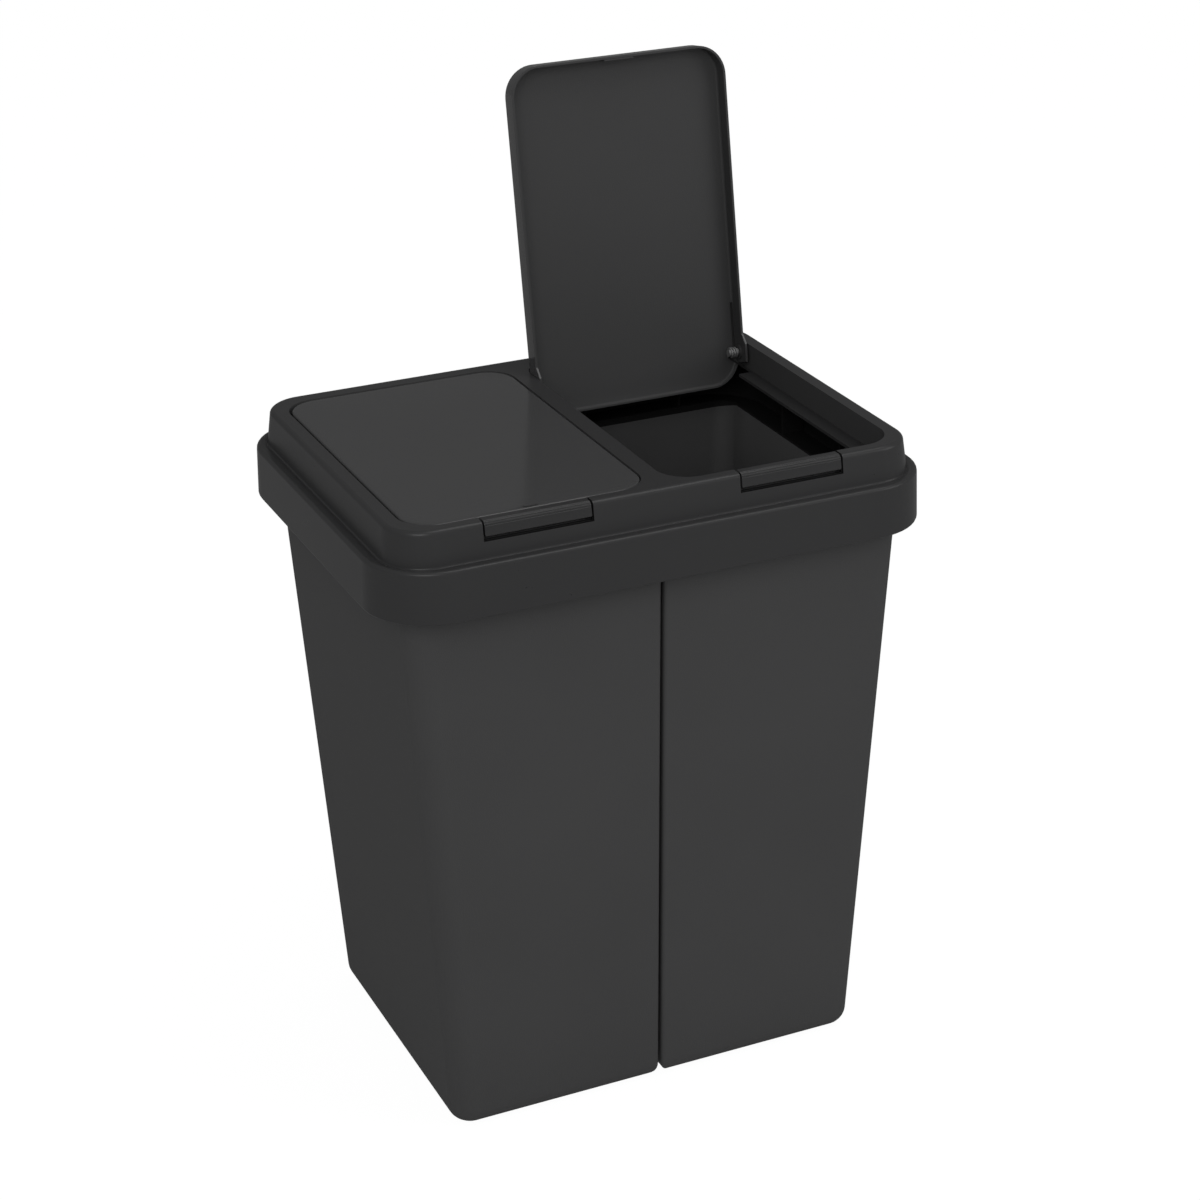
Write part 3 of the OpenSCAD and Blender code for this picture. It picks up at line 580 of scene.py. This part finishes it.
swing = (Matrix.Translation((0, HINGE[0] * MM, HINGE[1] * MM))
         @ Matrix.Rotation(math.radians(-OPEN_ANGLE), 4, "X")
         @ Matrix.Translation((0, -HINGE[0] * MM, -HINGE[1] * MM)))
lid_plastic = moulded_plastic("lid_plastic", (0.041, 0.041, 0.0415), (0.045, 0.045, 0.0455),
                              0.13, 0.02, 0.03, 1400.0, 0.33)
lid_inside = moulded_plastic("lid_inside_plastic", (0.037, 0.037, 0.0375),
                             (0.042, 0.042, 0.0425), 0.50, 0.05, 0.22, 900.0, 0.22)
for side, body in ((-1, "left_lid"), (1, "right_lid")):
    lid = loft(body + "_tray", [*reversed(inner), *lid_rings])
    outer_from = len(inner) * (row_points + 2 * len(SIDE_SHARES))
    lid.data.materials.append(lid_plastic)
    lid.data.materials.append(lid_inside)
    for face in lid.data.polygons:
        if min(face.vertices) < outer_from:
            face.material_index = 1
    bosses = [rod("boss", LID_X + end * (LID_HALF - LID_WALL - 2.0),
                  LID_X + end * (LID_HALF - LID_WALL + 1.2), HINGE[0], HINGE[1], BOSS_R)
              for end in (-1, 1)]
    catch = block("catch", LID_X - CATCH_HALF, LID_X + CATCH_HALF,
                  LID_FRONT + 1.2, LID_FRONT + 3.2,
                  TOP_Z - LID_DEPTH + 0.4, TOP_Z - LID_TOP + 0.2, (0.6,) * 4)
    mark = block("mark", LID_X - MARK_HALF, LID_X + MARK_HALF, LID_FRONT + 1.6, LID_FRONT + 5.0,
                 TOP_Z - LID_TOP + 0.5, TOP_Z + 0.8, (1.6,) * 4)
    for extra in (*bosses, catch, mark):
        extra.data.materials.append(lid_plastic if extra is mark else lid_inside)
        extra.name = body + "_" + extra.name.split(".")[0]
    move = Matrix.Scale(side, 4, (1, 0, 0))
    for piece in (lid, *bosses, catch, mark):
        piece.data.transform((swing if side > 0 else Matrix.Identity(4)) @ move)
        if side < 0:
            piece.data.flip_normals()
        smooth(piece)
        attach(piece, body)
    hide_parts(body)

# Latch buttons: a thumb tab in the front shoulder of the rim, with fine grip grooves
# along it. It turns on two trunnions, and its hook reaches back to the lid.
BUTTON_FOOT, BUTTON_BACK = 518.5, -147.0
TRUNNION = (-150.1, 514.6)
GROOVES = (14.0, 46.0, 78.0)
GROOVE_DEPTH, GROOVE_HALF = 0.45, 9.0
BUTTON_END_R = 0.6
HOOK_HALF, HOOK_Z = 10.0, (521.0, 522.6)
TRUNNION_R, TRUNNION_REACH = 2.0, 2.6
CHEEK_X, CHEEK_HALF, CHEEK_R = 40.8, 1.2, 2.2

rim_top_y = -SKIRT_HALF[1] + RIM_STEP + RIM_DRAFT + RIM_EDGE_R
front_y = -SKIRT_HALF[1] + RIM_STEP + 1.8
section = [(BUTTON_BACK, BUTTON_FOOT), (BUTTON_BACK, TOP_Z - 0.6), (BUTTON_BACK - 0.6, TOP_Z)]
angle = 0.0
while angle <= 90.0:
    depth = 0.0
    for groove in GROOVES:
        depth = max(depth, GROOVE_DEPTH * (1 - abs(angle - groove) / GROOVE_HALF))
    reach = RIM_EDGE_R - depth
    a = math.radians(90.0 + angle)
    section.append((rim_top_y + reach * math.cos(a), TOP_Z - RIM_EDGE_R + reach * math.sin(a)))
    angle += 2.5
section += [(front_y, BUTTON_FOOT + 0.8), (front_y + 0.8, BUTTON_FOOT)]
centre_y = sum(p[0] for p in section) / len(section)
centre_z = sum(p[1] for p in section) / len(section)
button_plastic = moulded_plastic("button_plastic", (0.024, 0.024, 0.0245), (0.027, 0.027, 0.0275),
                                 0.36, 0.04, 0.10, 1400.0, 0.35)
for side, body, node in ((-1, "left_button", "left_latch_button"),
                         (1, "right_button", "right_latch_button")):
    rows = []
    for x, share in ((-BUTTON_HALF, 0.90), (-BUTTON_HALF + 0.2, 0.97),
                     (-BUTTON_HALF + BUTTON_END_R, 1.0), (BUTTON_HALF - BUTTON_END_R, 1.0),
                     (BUTTON_HALF - 0.2, 0.97), (BUTTON_HALF, 0.90)):
        rows.append([Vector((LID_X + x, centre_y + (y - centre_y) * share,
                             centre_z + (z - centre_z) * share)) for y, z in section])
    tab = loft(node + "_tab", rows)
    hook = block(node + "_hook", LID_X - HOOK_HALF, LID_X + HOOK_HALF, BUTTON_BACK - 1.0,
                 LID_FRONT - 0.6, HOOK_Z[0], HOOK_Z[1], (0.3,) * 4)
    trunnions = rod(node + "_trunnions", LID_X - BUTTON_HALF - TRUNNION_REACH,
                    LID_X + BUTTON_HALF + TRUNNION_REACH, TRUNNION[0], TRUNNION[1], TRUNNION_R)
    cheeks = [block(node + "_cheek", LID_X + end * CHEEK_X - CHEEK_HALF,
                    LID_X + end * CHEEK_X + CHEEK_HALF, TRUNNION[0] - CHEEK_R,
                    TRUNNION[0] + CHEEK_R, TRUNNION[1] - CHEEK_R, BUTTON_FOOT + 0.5,
                    (0.5,) * 4) for end in (-1, 1)]
    for piece in (tab, hook, trunnions, *cheeks):
        piece.data.transform(Matrix.Scale(side, 4, (1, 0, 0)))
        if side < 0:
            piece.data.flip_normals()
        smooth(piece, 40)
        piece.data.materials.append(button_plastic)
        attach(piece, body)
    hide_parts(node)

# Springs and pins: oiled steel wire and drawn rod. A lid spring's coil and long leg go
# with the lid, and its short leg stays on the cover's post.
WIRE_R = 0.7
COIL_R, COIL_LEN = 3.95, 7.0
SPRING_INSET = 2.0 + SEAM
LONG_LEG, SHORT_LEG = 42.0, 24.0
TUBE_SIDES = 10
CURL_STEPS = 24


def steel(name, shade, rough, stretch):
    """Drawn steel with fine marks along the draw and a dull film of oil."""
    made = bpy.data.materials.new(name)
    made.use_nodes = True
    nodes, links = made.node_tree.nodes, made.node_tree.links
    shader = nodes["Principled BSDF"]
    shader.inputs["Metallic"].default_value = 1.0
    place = nodes.new("ShaderNodeTexCoord")
    scale = nodes.new("ShaderNodeMapping")
    scale.inputs["Scale"].default_value = stretch
    marks = nodes.new("ShaderNodeTexNoise")
    marks.inputs["Scale"].default_value = 300.0
    ramp = nodes.new("ShaderNodeValToRGB")
    ramp.color_ramp.elements[0].color = (*(0.7 * shade,) * 3, 1.0)
    ramp.color_ramp.elements[1].color = (*(1.2 * shade,) * 3, 1.0)
    film = nodes.new("ShaderNodeMapRange")
    film.inputs["To Min"].default_value = rough - 0.08
    film.inputs["To Max"].default_value = rough + 0.08
    links.new(place.outputs["Object"], scale.inputs["Vector"])
    links.new(scale.outputs["Vector"], marks.inputs["Vector"])
    links.new(marks.outputs["Fac"], ramp.inputs["Fac"])
    links.new(marks.outputs["Fac"], film.inputs["Value"])
    links.new(ramp.outputs["Color"], shader.inputs["Base Color"])
    links.new(film.outputs["Result"], shader.inputs["Roughness"])
    return made


spring_steel = steel("spring_steel", 0.42, 0.70, (1.0, 1.0, 1.0))
# Painted shade: a near-black copy of the steel for the spring legs and the button springs, in
# place of the dark surroundings they reflect.
leg_steel_painted_shade = steel("leg_steel_painted_shade", 0.05, 0.55, (1.0, 1.0, 1.0))
# Painted shade: a near-black copy of the steel for two hinge pins, in place of the shadow in the
# hinge notches.
pin_steel = steel("pin_steel", 0.05, 0.50, (0.1, 3.0, 3.0))


def wire(name, path):
    """A closed tube of wire along a path, in millimetres."""
    rows = []
    across = Vector((1, 0, 0))
    for i, p in enumerate(path):
        ahead = (path[min(i + 1, len(path) - 1)] - path[max(i - 1, 0)]).normalized()
        first = (across - ahead * across.dot(ahead)).normalized()
        second = ahead.cross(first)
        rows.append([p + WIRE_R * (math.cos(2 * math.pi * k / TUBE_SIDES) * first
                                   + math.sin(2 * math.pi * k / TUBE_SIDES) * second)
                     for k in range(TUBE_SIDES)])
    made = loft(name, rows)
    smooth(made, 60)
    return made


for side, body, turned in ((-1, "left_lid", 0.0), (1, "right_lid", OPEN_ANGLE)):
    start_x = side * LID_X + LID_HALF - LID_WALL - SPRING_INSET - COIL_LEN
    whole = 180.0 + 360.0 * 3 - turned
    steps = round(whole / 360.0 * CURL_STEPS)
    coil = [Vector((start_x + COIL_LEN * i / steps,
                    HINGE[0] + COIL_R * math.cos(math.radians(-90.0 + whole * i / steps)),
                    HINGE[1] + COIL_R * math.sin(math.radians(-90.0 + whole * i / steps))))
            for i in range(steps + 1)]
    end = math.radians(-90.0 + whole)
    way_out, way_in = Vector((0.0, -math.sin(end), math.cos(end))), Vector((0.0, -1.0, 0.0))
    lifting = wire(body + "_spring_coil", coil + [coil[-1] + LONG_LEG * way_out])
    bearing = wire(body + "_spring_foot", [coil[0], coil[0] + SHORT_LEG * way_in])
    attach(lifting, body)
    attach(bearing, "cover")
    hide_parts(body + "_spring")
    for piece in (lifting, bearing):
        # The legs take the painted-shade steel, and the coil keeps the plain spring steel.
        piece.data.materials.append(spring_steel)
        piece.data.materials.append(leg_steel_painted_shade)
    bearing.data.polygons.foreach_set("material_index", [1] * len(bearing.data.polygons))
    for face in lifting.data.polygons:
        face.material_index = 1 if min(face.vertices) >= (steps - 1) * TUBE_SIDES else 0
# The button springs take the painted-shade steel too.
for node in ("left_button_spring", "right_button_spring"):
    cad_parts[node].data.materials.clear()
    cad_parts[node].data.materials.append(leg_steel_painted_shade)
# Two pins take the painted-shade steel; the right outer pin keeps the spring steel.
for node, shade in (("left_outer_hinge_pin", pin_steel), ("centre_hinge_pin", pin_steel),
                    ("right_outer_hinge_pin", spring_steel)):
    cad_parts[node].data.materials.clear()
    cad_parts[node].data.materials.append(shade)
